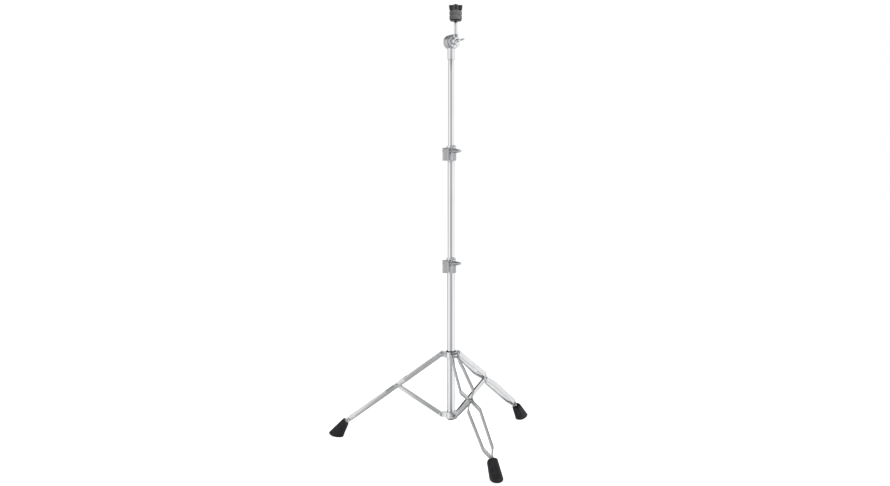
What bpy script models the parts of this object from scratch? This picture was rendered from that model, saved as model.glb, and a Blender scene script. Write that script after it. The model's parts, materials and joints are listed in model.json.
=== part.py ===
"""Straight cymbal stand: folding double-strip tripod, three telescoping tubes, toothed tilter.

Units are metres, +Z is up and the floor is z = 0. The origin is the middle of the stand's
footprint on the floor. One leg points to the front (-Y), so the tubes stand a little behind it.
"""

from math import asin, cos, pi, radians, sin, sqrt, tan

import bmesh
import bpy
from mathutils import Matrix, Vector

MM = 0.001

# Clearance between pieces that touch, turn in each other or slide in each other
GAP = 0.3 * MM

# How deep a boss starts inside the wall that carries it
SINK = 1 * MM

# Tubes
BASE_TUBE_OD = 25.4 * MM
MIDDLE_TUBE_OD = 22.2 * MM
TOP_TUBE_OD = 19.05 * MM
TUBE_WALL = 1.2 * MM
BASE_TUBE_LENGTH = 506 * MM
MIDDLE_TUBE_LENGTH = 520 * MM
TOP_TUBE_LENGTH = 460 * MM
MIDDLE_TUBE_OUT = 364 * MM
TOP_TUBE_OUT = 336 * MM
TUBE_SIDES = 32

# Plug in the lower end of the base tube
PLUG_FLANGE = 3 * MM
PLUG_DEPTH = 12 * MM
PLUG_WALL = 2.5 * MM

# Tripod: where the legs stand and where they hinge
LEG_NAMES = ("front", "right", "left")
FRONT_LEG_AZIMUTH = -90
LEG_SLOPE = 36.45
FOOT_SPREAD = 397 * MM
FOOT_AXIS_HEIGHT = 29 * MM
LEG_PIVOT_RADIUS = 30 * MM
BRACE_PIVOT_RADIUS = 32 * MM
BRACE_PIVOT_HEIGHT = 96 * MM
LEG_TO_BRACE = 190 * MM

# Leg strips: bars of flat steel bent in plan, in mirrored pairs
STRIP_HEIGHT = 16 * MM
STRIP_THICKNESS = 3 * MM
STRIP_END = 22 * MM
HUB_STRAIGHT = 26 * MM
FIRST_BEND = 58 * MM
FIRST_BEND_HALF = 14.8 * MM
UPPER_BOW_BEFORE_PINCH = 35 * MM
UPPER_BOW_HALF = 21.8 * MM
PINCH_STRAIGHT = 18 * MM
LOWER_BOW_AFTER_PINCH = 39 * MM
LOWER_BOW_HALF = 19.8 * MM
LAST_BEND_BEFORE_FOOT = 40 * MM
LAST_BEND_HALF = 15.3 * MM
TOE_GAP = 3.4 * MM
TOE_STRAIGHT = 14 * MM
BEND_RADIUS = 9 * MM

# Rivets of the tripod
HINGE_PIN_RADIUS = 3 * MM
HINGE_HEAD_RADIUS = 5.5 * MM
BRACE_PIN_RADIUS = 2.7 * MM
BRACE_HEAD_RADIUS = 4.6 * MM
RIVET_HEAD_HEIGHT = 2.4 * MM
END_RIVET_BEFORE_FOOT = 8 * MM
RIVET_SIDES = 10

# Braces: channels open to the floor
BRACE_WIDTH = 8 * MM
BRACE_HEIGHT = 13.5 * MM
BRACE_WALL = 1.5 * MM
BRACE_BUSH_RADIUS = 4 * MM

# Brace hub, fixed on the lower end of the base tube
BRACE_HUB_LENGTH = 20 * MM
BRACE_HUB_RADIUS = 16.5 * MM
BRACE_CHEEK = 3 * MM
BRACE_EAR_RADIUS = 7 * MM
TUBE_BELOW_BRACE_PIVOT = 12 * MM

# Leg hub, which slides on the base tube
LEG_HUB_LENGTH = 22 * MM
LEG_HUB_WALL = 3.6 * MM
LEG_EAR_WIDTH = 18 * MM
LEG_EAR_RADIUS = 10 * MM
LEG_PIVOT_ABOVE_HUB_MIDDLE = 3 * MM
BUSHING_WALL = 1.1 * MM
BUSHING_FLANGE = 1.5 * MM
BUSHING_FLANGE_RADIUS = 16.5 * MM
HUB_BOSS_RADIUS = 6.5 * MM
HUB_BOSS_REACH = 24 * MM

# Rubber feet
FOOT_NECK_BACK = 42 * MM
FOOT_NECK_HALF_HEIGHT = 13.5 * MM
FOOT_NECK_HALF_WIDTH = 14 * MM
FOOT_SOLE_HALF_LENGTH = 26 * MM
FOOT_SOLE_HALF_WIDTH = 19.5 * MM
FOOT_HEEL_HEIGHT = 6 * MM
FOOT_TOE_HEIGHT = 14 * MM
FOOT_SOLE_DIP = 0.8 * MM
FOOT_RIBS = 9
FOOT_RIB_DEPTH = 1.1 * MM
FOOT_SQUARENESS = 2.6

# Tube clamps, cast, one on the upper end of the base tube and one on the middle tube
CLAMP_HEIGHT = 41 * MM
CLAMP_GRIP = 20 * MM
CLAMP_RADIUS = 16.5 * MM
CLAMP_AZIMUTH = -18.9
CLAMP_BLOCK_REACH = 28.5 * MM
CLAMP_BLOCK_INNER = 8.5 * MM
CLAMP_FRONT = 25.5 * MM
CLAMP_BLOCK_BACK = 8 * MM
CLAMP_POCKET_WALL = 3 * MM
CLAMP_LUG_INNER = 2 * MM
CLAMP_LUG_REACH = 18.5 * MM
CLAMP_SLOT_WIDTH = 3 * MM
CLAMP_SLOT_OFFSET = 3.2 * MM
CLAMP_BOLT_FORWARD = 20.5 * MM
CLAMP_BOLT_HEIGHT = 31 * MM
CLAMP_BOLT_RADIUS = 3 * MM
CLAMP_BOLT_HEAD_RADIUS = 5 * MM
CLAMP_BOLT_HEAD = 4 * MM
CLAMP_HEAD_POCKET = 6 * MM
CLAMP_BOLT_PAST_NUT = 1.5 * MM
CLAMP_ROUNDING = 2.5 * MM

# Memory rings, which turn on the clamps and are locked to the inner tubes by a square key screw
RING_HEIGHT = 6.5 * MM
RING_RADIUS = 15.2 * MM
RING_BOSS_RADIUS = 4.2 * MM
RING_BOSS_REACH = 19.5 * MM
RING_SCREW_AZIMUTH = -55
KEY_SCREW_RADIUS = 2 * MM
KEY_HEAD_WIDTH = 5.5 * MM
KEY_HEAD_LENGTH = 6 * MM

# Wing nuts and wing bolts
WING_SPAN = 34 * MM
WING_REACH = 15 * MM
WING_THICKNESS = 5 * MM
WING_LOBE_RADIUS = 5 * MM
WING_BOSS_RADIUS = 6 * MM
WING_BOSS_LENGTH = 9 * MM
TILTER_WING_SPAN = 41 * MM

# Tilter: a housing on the top tube and a toothed disc that carries the stem
TILTER_ABOVE_TUBE = 24 * MM
TILTER_AZIMUTH = 15.1
TILTER_RADIUS = 23 * MM
TILTER_HALF_DEPTH = 12 * MM
TILTER_EDGE = 1.5 * MM
TILTER_TEETH = 18
TOOTH_DEPTH = 1.6 * MM
TOOTH_INNER_RADIUS = 14 * MM
TOOTH_RIM = 1.5 * MM
FERRULE_RADIUS = 11.7 * MM
FERRULE_BELOW_AXIS = 55 * MM
TILTER_BOLT_RADIUS = 4 * MM
TILTER_BOLT_HEAD_RADIUS = 7 * MM
TILTER_BOLT_HEAD = 5 * MM
DISC_RADIUS = 21.5 * MM
DISC_THICKNESS = 7.7 * MM
DISC_POCKETS = 8
DISC_POCKET_INNER = 13 * MM
DISC_POCKET_OUTER = 18.5 * MM
DISC_POCKET_DEPTH = 2.5 * MM
DISC_SPOKE_WIDTH = 3 * MM
DISC_BOSS_RADIUS = 12 * MM
DISC_BOSS_LENGTH = 15 * MM
STEM_SOCKET_RADIUS = 8.5 * MM
STEM_SOCKET_TOP = 21 * MM

# Stem and cymbal seat, heights above the tilting axis
STEM_RADIUS = 5.5 * MM
STEM_BOTTOM = 8 * MM
SEAT_HEIGHT = 63 * MM
STUD_RADIUS = 4 * MM
STUD_TOP = 116.5 * MM
SLEEVE_WALL = 1.9 * MM
SLEEVE_FLANGE_RADIUS = 18 * MM
SLEEVE_FLANGE = 3 * MM
FELT_RADIUS = 20 * MM
FELT_HEIGHT = 14 * MM
FELT_ROUNDING = 2.5 * MM
TOP_NUT_HEIGHT = 18.6 * MM
TOP_NUT_SPAN = 44 * MM
TOP_NUT_FOOT_SPAN = 40 * MM
TOP_NUT_THICKNESS = 9 * MM
TOP_NUT_BOSS_RADIUS = 10 * MM

ROUND_SIDES = 20
CORNER_STEPS = 2

# Finishes: colour, roughness and metallic value
FINISHES = {
    "chrome": ((0.80, 0.81, 0.83), 0.12, 1.0),
    "cast_chrome": ((0.72, 0.73, 0.75), 0.22, 1.0),
    "plated_steel": ((0.62, 0.63, 0.65), 0.30, 1.0),
    "rubber": ((0.018, 0.018, 0.020), 0.75, 0.0),
    "nylon": ((0.030, 0.030, 0.032), 0.45, 0.0),
    "black_plastic": ((0.012, 0.012, 0.014), 0.18, 0.0),
    "felt": ((0.060, 0.060, 0.065), 0.95, 0.0),
}


# Heights and lengths that follow from the sizes above
SLOPE = radians(LEG_SLOPE)
LEG_PIVOT_HEIGHT = FOOT_AXIS_HEIGHT + (FOOT_SPREAD - LEG_PIVOT_RADIUS) * tan(SLOPE)
LEG_HUB_HEIGHT = LEG_PIVOT_HEIGHT - LEG_PIVOT_ABOVE_HUB_MIDDLE
LEG_TO_SOLE = (FOOT_SPREAD - LEG_PIVOT_RADIUS) / cos(SLOPE)
LEG_TO_FOOT = LEG_TO_SOLE - FOOT_NECK_BACK
PINCH_RADIUS = LEG_PIVOT_RADIUS + LEG_TO_BRACE * cos(SLOPE)
PINCH_HEIGHT = LEG_PIVOT_HEIGHT - LEG_TO_BRACE * sin(SLOPE)
BRACE_RUN = Vector((PINCH_RADIUS - BRACE_PIVOT_RADIUS, 0, PINCH_HEIGHT - BRACE_PIVOT_HEIGHT))
PINCH_HALF = BRACE_WIDTH / 2 + GAP + STRIP_THICKNESS / 2
HUB_HALF = LEG_EAR_WIDTH / 2 + GAP + STRIP_THICKNESS / 2
TOE_HALF = (TOE_GAP + STRIP_THICKNESS) / 2
BASE_TUBE_BOTTOM = BRACE_PIVOT_HEIGHT - TUBE_BELOW_BRACE_PIVOT
BASE_TUBE_TOP = BASE_TUBE_BOTTOM + BASE_TUBE_LENGTH
MIDDLE_TUBE_TOP = BASE_TUBE_TOP + MIDDLE_TUBE_OUT
TOP_TUBE_TOP = MIDDLE_TUBE_TOP + TOP_TUBE_OUT
TILTER_HEIGHT = TOP_TUBE_TOP + TILTER_ABOVE_TUBE
DISC_BACK = TILTER_HALF_DEPTH + GAP
DISC_FRONT = DISC_BACK + DISC_THICKNESS
STEM_FORWARD = DISC_FRONT + STEM_RADIUS + GAP
SLEEVE_RADIUS = STUD_RADIUS + GAP + SLEEVE_WALL


def clear_scene():
    """Remove every object, so that the part starts from nothing."""
    for item in list(bpy.data.objects):
        bpy.data.objects.remove(item, do_unlink=True)


def finish_material(name, finish):
    """Return a new Principled material with the named finish."""
    colour, roughness, metallic = FINISHES[finish]
    material = bpy.data.materials.new(name)
    material.use_nodes = True
    shader = material.node_tree.nodes["Principled BSDF"]
    shader.inputs["Base Color"].default_value = (*colour, 1.0)
    shader.inputs["Roughness"].default_value = roughness
    shader.inputs["Metallic"].default_value = metallic
    return material


def empty(name, parent=None, location=(0, 0, 0), rotation=(0, 0, 0)):
    """Add an empty that carries pieces or marks a joint's axis."""
    marker = bpy.data.objects.new(name, None)
    bpy.context.collection.objects.link(marker)
    marker.parent = parent
    marker.location = location
    marker.rotation_euler = rotation
    return marker


def mesh_from(name, shape):
    """Turn a bmesh into a mesh with merged points and outward faces."""
    bmesh.ops.remove_doubles(shape, verts=shape.verts, dist=1e-7)
    bmesh.ops.recalc_face_normals(shape, faces=shape.faces)
    mesh = bpy.data.meshes.new(name)
    shape.to_mesh(mesh)
    shape.free()
    return mesh


def piece(name, shape, finish, parent, location=(0, 0, 0), rotation=(0, 0, 0)):
    """Add one sub-part of the stand, smooth with sharp edges kept."""
    mesh = mesh_from(name, shape)
    mesh.materials.append(finish_material(name, finish))
    mesh.shade_smooth()
    mesh.set_sharp_from_angle(angle=radians(35))
    return place(name, mesh, parent, location, rotation)


def place(name, mesh, parent, location=(0, 0, 0), rotation=(0, 0, 0)):
    """Add an object that shows a mesh, which may be shared with a like piece."""
    item = bpy.data.objects.new(name, mesh)
    bpy.context.collection.objects.link(item)
    item.parent = parent
    item.location = location
    item.rotation_euler = rotation
    return item


def combine(target, shape, operation):
    """Join a shape to a piece, or cut it away, in the piece's own space."""
    number = len(target.modifiers) + 1
    tool = bpy.data.objects.new(f"{target.name}_tool_{number}", mesh_from(target.name, shape))
    bpy.context.collection.objects.link(tool)
    tool.parent = target
    tool.hide_render = True
    tool.display_type = "WIRE"
    modifier = target.modifiers.new(f"{operation.title()} {number}", "BOOLEAN")
    modifier.operation = operation
    modifier.solver = "EXACT"
    modifier.object = tool


def join(target, shape):
    combine(target, shape, "UNION")


def cut(target, shape):
    combine(target, shape, "DIFFERENCE")


def turned(profile, sides=ROUND_SIDES):
    """Spin a profile of (radius, height) points about Z. A profile that leaves the axis is a ring."""
    shape = bmesh.new()
    points = [shape.verts.new((radius, 0, height)) for radius, height in profile]
    edges = [shape.edges.new(pair) for pair in zip(points, points[1:])]
    if profile[0][0] > 0:
        edges.append(shape.edges.new((points[-1], points[0])))
    bmesh.ops.spin(shape, geom=points + edges, cent=(0, 0, 0), axis=(0, 0, 1), dvec=(0, 0, 0),
                   angle=2 * pi, steps=sides, use_merge=True)
    bmesh.ops.remove_doubles(shape, verts=shape.verts, dist=1e-7)
    return shape


def cylinder(radius, low, high, sides=ROUND_SIDES):
    return turned([(0, low), (radius, low), (radius, high), (0, high)], sides)


def ring(inner, outer, low, high, sides=ROUND_SIDES):
    return turned([(inner, low), (outer, low), (outer, high), (inner, high)], sides)


def prism(outline, low, high):
    """Extrude an outline of (x, y) points from one height to another."""
    shape = bmesh.new()
    face = shape.faces.new([shape.verts.new((x, y, low)) for x, y in outline])
    grown = bmesh.ops.extrude_face_region(shape, geom=[face])
    risen = [item for item in grown["geom"] if isinstance(item, bmesh.types.BMVert)]
    bmesh.ops.translate(shape, verts=risen, vec=(0, 0, high - low))
    return shape


def block(low, high, rounding=0.0):
    """Return a box between two corners, with all its edges rounded."""
    shape = bmesh.new()
    bmesh.ops.create_cube(shape, size=1)
    low, high = Vector(low), Vector(high)
    bmesh.ops.scale(shape, verts=shape.verts, vec=high - low)
    bmesh.ops.translate(shape, verts=shape.verts, vec=(low + high) / 2)
    if rounding:
        round_edges(shape, rounding)
    return shape


def round_edges(shape, rounding, segments=2):
    """Bevel every edge of a shape that stands at more than thirty degrees."""
    sharp = [edge for edge in shape.edges if edge.calc_face_angle(0) > radians(30)]
    bmesh.ops.bevel(shape, geom=sharp, offset=rounding, segments=segments, profile=0.5,
                    affect="EDGES", clamp_overlap=True)


def moved(shape, *steps):
    """Apply transforms to a shape, first step first."""
    for step in steps:
        bmesh.ops.transform(shape, matrix=step, verts=shape.verts)
    return shape


def shift(x=0.0, y=0.0, z=0.0):
    return Matrix.Translation((x, y, z))


def turn(angle, axis):
    return Matrix.Rotation(angle, 4, axis)


def arc(x, y, radius, start, end, steps):
    """Return points of an arc, angles in degrees."""
    angles = [radians(start + (end - start) * step / steps) for step in range(steps + 1)]
    return [(x + radius * cos(angle), y + radius * sin(angle)) for angle in angles]


def rounded_path(corners, steps=CORNER_STEPS):
    """Return a path of (x, y) points in which every inner corner is an arc of its own radius."""
    points = [Vector(corners[0][:2])]
    for before, corner, after in zip(corners, corners[1:], corners[2:]):
        here = Vector(corner[:2])
        back = (Vector(before[:2]) - here).normalized()
        ahead = (Vector(after[:2]) - here).normalized()
        half = back.angle(ahead) / 2
        centre = here + (back + ahead).normalized() * (corner[2] / sin(half))
        leave = here + back * (corner[2] / tan(half)) - centre
        sweep = leave.angle_signed(here + ahead * (corner[2] / tan(half)) - centre)
        for step in range(steps + 1):
            points.append(centre + Matrix.Rotation(-sweep * step / steps, 2) @ leave)
    points.append(Vector(corners[-1][:2]))
    return points


def tube(name, diameter, bottom, length, parent):
    outer = diameter / 2
    shape = ring(outer - TUBE_WALL, outer, bottom, bottom + length, TUBE_SIDES)
    return piece(name, shape, "chrome", parent)


def rivet(name, radius, head_radius, half_grip, finish, parent, location=(0, 0, 0)):
    """Add a rivet along Y with a domed head outside each half grip."""
    top = half_grip + RIVET_HEAD_HEIGHT
    half = [(0, top), (head_radius * 0.55, top), (head_radius, half_grip + GAP),
            (head_radius, half_grip), (radius, half_grip)]
    profile = half + [(across, -height) for across, height in reversed(half)]
    shape = moved(turned(profile, RIVET_SIDES), turn(radians(90), "X"))
    return piece(name, shape, finish, parent, location)


def hole_along_y(radius, x, z, half_length, sides=RIVET_SIDES):
    return moved(cylinder(radius, -half_length, half_length, sides),
                 turn(radians(90), "X"), shift(x, 0, z))


def wing_shape(span, bore_radius):
    """Return a wing nut that stands on z = 0 with its wings along X."""
    lobe_x = span / 2 - WING_LOBE_RADIUS
    lobe_z = WING_REACH - WING_LOBE_RADIUS
    right = [(WING_BOSS_RADIUS * 0.7, WING_BOSS_LENGTH * 0.25)]
    right += arc(lobe_x, lobe_z, WING_LOBE_RADIUS, -60, 125, 6)
    right.append((WING_BOSS_RADIUS * 0.6, WING_BOSS_LENGTH * 0.9))
    left = [(-x, z) for x, z in reversed(right)]
    plate = moved(prism(right + left, -WING_THICKNESS / 2, WING_THICKNESS / 2),
                  turn(radians(90), "X"))
    round_edges(plate, WING_THICKNESS * 0.28, 1)
    boss = turned([(0, 0), (WING_BOSS_RADIUS, 0), (WING_BOSS_RADIUS, WING_BOSS_LENGTH * 0.3),
                   (WING_BOSS_RADIUS * 0.8, WING_BOSS_LENGTH), (0, WING_BOSS_LENGTH)], 16)
    bore = cylinder(bore_radius, -WING_REACH, 2 * WING_REACH, 12)
    return plate, boss, bore


def wing_nut(name, span, bolt_radius, parent, location=(0, 0, 0), rotation=(0, 0, 0)):
    plate, boss, bore = wing_shape(span, bolt_radius + GAP)
    nut = piece(name, boss, "cast_chrome", parent, location, rotation)
    join(nut, plate)
    cut(nut, bore)
    return nut


def build_base_tube(stand):
    """The lowest tube with the plug in its end."""
    tube("base_tube", BASE_TUBE_OD, BASE_TUBE_BOTTOM, BASE_TUBE_LENGTH, stand)
    outer = BASE_TUBE_OD / 2
    inner = outer - TUBE_WALL - GAP
    seat = BASE_TUBE_BOTTOM - GAP
    profile = [(0, seat - PLUG_FLANGE), (outer - TUBE_WALL / 2, seat - PLUG_FLANGE),
               (outer, seat - PLUG_FLANGE / 2), (outer, seat), (inner, seat),
               (inner, seat + PLUG_DEPTH), (inner - PLUG_WALL, seat + PLUG_DEPTH),
               (inner - PLUG_WALL, seat), (0, seat)]
    piece("base_tube_plug", turned(profile), "rubber", stand)


def ear_outline(root_radius, pivot_radius, pivot_up, half_height, end_radius):
    """Side view of a hub's ear, from the sleeve out to the round end about its pivot."""
    end = arc(pivot_radius, pivot_up, end_radius, -70, 75, 6)
    return [(root_radius, half_height), (root_radius, -half_height)] + end


def build_brace_hub(stand):
    """The collar that is fixed on the end of the base tube, with three slotted ears."""
    hub_space = empty("brace_hub_middle", stand, (0, 0, BRACE_PIVOT_HEIGHT))
    bore = BASE_TUBE_OD / 2 + GAP
    half = BRACE_HUB_LENGTH / 2
    hub = piece("brace_hub", cylinder(BRACE_HUB_RADIUS, -half, half), "cast_chrome", hub_space)
    slot_half = BRACE_WIDTH / 2 + GAP
    ear_half = slot_half + BRACE_CHEEK
    outline = ear_outline(bore, BRACE_PIVOT_RADIUS, 0, half - 1 * MM, BRACE_EAR_RADIUS)
    slots = []
    for index, leg in enumerate(LEG_NAMES):
        around = turn(leg_azimuth(index), "Z")
        ear = moved(prism(outline, -ear_half, ear_half), turn(radians(90), "X"), around)
        join(hub, ear)
        reach = BRACE_PIVOT_RADIUS + 2 * BRACE_EAR_RADIUS
        slots.append(moved(block((BRACE_HUB_RADIUS + 0.5 * MM, -slot_half, -2 * half),
                                 (reach, slot_half, 2 * half)), around))
        slots.append(moved(hole_along_y(BRACE_PIN_RADIUS + GAP, BRACE_PIVOT_RADIUS, 0, 2 * ear_half),
                           around))
        pivot = empty(f"{leg}_brace_pivot", hub_space,
                      Vector((BRACE_PIVOT_RADIUS, 0, 0)) @ around.to_3x3().transposed(),
                      (0, 0, leg_azimuth(index)))
        rivet(f"{leg}_brace_hinge_pin", BRACE_PIN_RADIUS, BRACE_HEAD_RADIUS, ear_half + GAP,
              "plated_steel", pivot)
    for shape in slots:
        cut(hub, shape)
    cut(hub, cylinder(bore, -2 * half, 2 * half, TUBE_SIDES))
    return hub_space


def leg_azimuth(index):
    return radians(FRONT_LEG_AZIMUTH + 120 * index)


def build_leg_hub(stand):
    """The cast hub that slides on the base tube, its bushing and its wing bolt."""
    hub_space = empty("leg_hub_middle", stand, (0, 0, LEG_HUB_HEIGHT))
    sleeve_inner = BASE_TUBE_OD / 2 + GAP
    sleeve_outer = sleeve_inner + BUSHING_WALL
    bore = sleeve_outer + GAP
    outer = bore + LEG_HUB_WALL
    half = LEG_HUB_LENGTH / 2
    profile = [(0, -half), (outer - 1 * MM, -half), (outer, 1 * MM - half), (outer, half - 1 * MM),
               (outer - 1 * MM, half), (0, half)]
    hub = piece("leg_hub", turned(profile), "cast_chrome", hub_space)
    outline = ear_outline(bore, LEG_PIVOT_RADIUS, LEG_PIVOT_ABOVE_HUB_MIDDLE, half - 1.5 * MM,
                          LEG_EAR_RADIUS - 1 * MM)
    holes = []
    for index in range(len(LEG_NAMES)):
        around = turn(leg_azimuth(index), "Z")
        ear = prism(outline, -LEG_EAR_WIDTH / 2, LEG_EAR_WIDTH / 2)
        join(hub, moved(ear, turn(radians(90), "X"), around))
        holes.append(moved(hole_along_y(HINGE_PIN_RADIUS + GAP, LEG_PIVOT_RADIUS,
                                        LEG_PIVOT_ABOVE_HUB_MIDDLE, LEG_EAR_WIDTH), around))
    outward = turn(radians(-90), "X")
    join(hub, moved(cylinder(HUB_BOSS_RADIUS, bore + SINK, HUB_BOSS_REACH, 16), outward))
    for shape in holes:
        cut(hub, shape)
    cut(hub, cylinder(bore, -2 * half, 2 * half, TUBE_SIDES))
    cut(hub, moved(cylinder(CLAMP_BOLT_RADIUS + GAP, 0, 2 * HUB_BOSS_REACH, 12), outward))

    flange_low = half + GAP
    profile = [(sleeve_inner, -half), (sleeve_outer, -half), (sleeve_outer, flange_low),
               (BUSHING_FLANGE_RADIUS, flange_low),
               (BUSHING_FLANGE_RADIUS, flange_low + BUSHING_FLANGE),
               (sleeve_inner, flange_low + BUSHING_FLANGE)]
    piece("leg_hub_bushing", turned(profile, TUBE_SIDES), "nylon", hub_space)

    bolt_space = empty("leg_hub_wing_axis", hub_space, (0, 0, 0), (radians(-90), 0, 0))
    plate, boss, bore_hole = wing_shape(WING_SPAN, 0)
    bore_hole.free()
    base = HUB_BOSS_REACH + GAP
    bolt = piece("leg_hub_wing_bolt", moved(boss, shift(z=base)), "cast_chrome", bolt_space)
    join(bolt, moved(plate, shift(z=base)))
    join(bolt, cylinder(CLAMP_BOLT_RADIUS, sleeve_outer + GAP, base + WING_BOSS_LENGTH / 2, 12))
    return hub_space


def strip_path(side):
    """Plan of one leg strip from the hub to the foot, y on the given side of the leg."""
    pinch = LEG_TO_BRACE
    foot = LEG_TO_FOOT
    small = BEND_RADIUS / 2
    corners = [
        (-STRIP_HEIGHT / 2, HUB_HALF),
        (HUB_STRAIGHT, HUB_HALF, 3 * BEND_RADIUS),
        (FIRST_BEND, FIRST_BEND_HALF, 3 * BEND_RADIUS),
        (pinch - UPPER_BOW_BEFORE_PINCH, UPPER_BOW_HALF, BEND_RADIUS),
        (pinch - PINCH_STRAIGHT / 2, PINCH_HALF, small),
        (pinch + PINCH_STRAIGHT / 2, PINCH_HALF, small),
        (pinch + LOWER_BOW_AFTER_PINCH, LOWER_BOW_HALF, BEND_RADIUS),
        (foot - LAST_BEND_BEFORE_FOOT, LAST_BEND_HALF, 2 * BEND_RADIUS),
        (foot - TOE_STRAIGHT, TOE_HALF, BEND_RADIUS),
        (foot + STRIP_END, TOE_HALF),
    ]
    return rounded_path([(corner[0], side * corner[1], *corner[2:]) for corner in corners])


def rounded_start(path, radius):
    """Put points at the path's start where a half-round end grows, with the half heights there."""
    steps = 4
    direction = (path[1] - path[0]).normalized()
    start = []
    for step in range(steps):
        angle = pi / 2 * step / steps
        start.append((path[0] + direction * radius * (1 - cos(angle)), radius * sin(angle)))
    start.append((path[0] + direction * radius, radius))
    return start + [(point, radius) for point in path[1:]]


def strip_shape(side):
    """Sweep the strip's section along its plan, with a half-round upper end."""
    stations = rounded_start(strip_path(side), STRIP_HEIGHT / 2)
    half = STRIP_THICKNESS / 2
    shape = bmesh.new()
    rows = []
    for index, (point, height) in enumerate(stations):
        before = stations[max(index - 1, 0)][0]
        after = stations[min(index + 1, len(stations) - 1)][0]
        first = (point - before).normalized() if index else (after - point).normalized()
        last = (after - point).normalized() if index < len(stations) - 1 else first
        bisector = (first + last).normalized()
        across = Vector((-bisector.y, bisector.x)) * (half / max(bisector.dot(first), 0.5))
        inner, outer = point - across, point + across
        rows.append([shape.verts.new((*inner, -height)), shape.verts.new((*outer, -height)),
                     shape.verts.new((*outer, height)), shape.verts.new((*inner, height))])
    for row, after in zip(rows, rows[1:]):
        for corner in range(4):
            following = (corner + 1) % 4
            shape.faces.new((row[corner], row[following], after[following], after[corner]))
    shape.faces.new(rows[-1])
    bmesh.ops.remove_doubles(shape, verts=shape.verts, dist=1e-7)
    return shape


def brace_shape():
    """The brace as a solid bar with round ends, along X from its lower pivot."""
    length = BRACE_RUN.length
    radius = BRACE_HEIGHT / 2
    outline = arc(length, 0, radius, -90, 90, 8) + arc(0, 0, radius, 90, 270, 8)
    return moved(prism(outline, -BRACE_WIDTH / 2, BRACE_WIDTH / 2), turn(radians(90), "X"))


def foot_rings():
    """Outlines of the foot from its neck to its sole, in the upright plane of the leg.

    Each ring is (centre, half axis in the plane, half width, depth of the grooves). The
    centre is measured from the middle of the sole on the floor.
    """
    outward = Vector((cos(SLOPE), 0, -sin(SLOPE)))
    upward = Vector((sin(SLOPE), 0, cos(SLOPE)))
    neck = Vector((0, 0, FOOT_AXIS_HEIGHT)) - outward * FOOT_NECK_BACK
    heel = Vector((-FOOT_SOLE_HALF_LENGTH, 0, FOOT_HEEL_HEIGHT))
    toe = Vector((FOOT_SOLE_HALF_LENGTH, 0, FOOT_TOE_HEIGHT))
    sole = (heel + toe) / 2
    long_axis = (toe - heel) / 2
    rings = [(neck, upward * FOOT_NECK_HALF_HEIGHT * 0.9, FOOT_NECK_HALF_WIDTH * 0.9, 0)]
    for along, groove in ((0.06, 0), (0.14, 0), (0.2, 1), (0.6, 1), (0.88, 1), (0.94, 0), (1, 0)):
        centre = neck.lerp(sole, along)
        axis = (upward * FOOT_NECK_HALF_HEIGHT).lerp(long_axis, along)
        width = FOOT_NECK_HALF_WIDTH + (FOOT_SOLE_HALF_WIDTH - FOOT_NECK_HALF_WIDTH) * along
        rings.append((centre, axis, width, groove * FOOT_RIB_DEPTH))
    down = Vector((0, 0, -(sole.z + FOOT_SOLE_DIP)))
    for share in (0.92, 0.7):
        drop = sqrt(1 - share ** 4)
        rings.append((sole + down * drop, long_axis * share, FOOT_SOLE_HALF_WIDTH * share, 0))
    return rings, sole + down


def foot_shape():
    """Loft the foot through its rings and cut its sole flat on the floor."""
    rings, bottom = foot_rings()
    shape = bmesh.new()
    rows = []
    points = FOOT_RIBS * 4
    for centre, axis, width, groove in rings:
        row = []
        for index in range(points):
            angle = 2 * pi * (index + 0.5) / points
            power = 2 / FOOT_SQUARENESS
            along = abs(cos(angle)) ** power * (1 if cos(angle) > 0 else -1)
            across = abs(sin(angle)) ** power * (1 if sin(angle) > 0 else -1)
            inset = 1 - (groove / width if index % 4 in (2, 3) else 0)
            row.append(shape.verts.new(centre + axis * along * inset
                                       + Vector((0, width * across * inset, 0))))
        rows.append(row)
    for row, after in zip(rows, rows[1:]):
        for index in range(points):
            following = (index + 1) % points
            shape.faces.new((row[index], row[following], after[following], after[index]))
    shape.faces.new(rows[0])
    tip = shape.verts.new(bottom)
    for index in range(points):
        shape.faces.new((rows[-1][index], rows[-1][(index + 1) % points], tip))
    bmesh.ops.bisect_plane(shape, geom=shape.verts[:] + shape.edges[:] + shape.faces[:],
                           plane_co=(0, 0, 0), plane_no=(0, 0, -1), clear_outer=True)
    bmesh.ops.holes_fill(shape, edges=[edge for edge in shape.edges if edge.is_boundary])
    return shape


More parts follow.
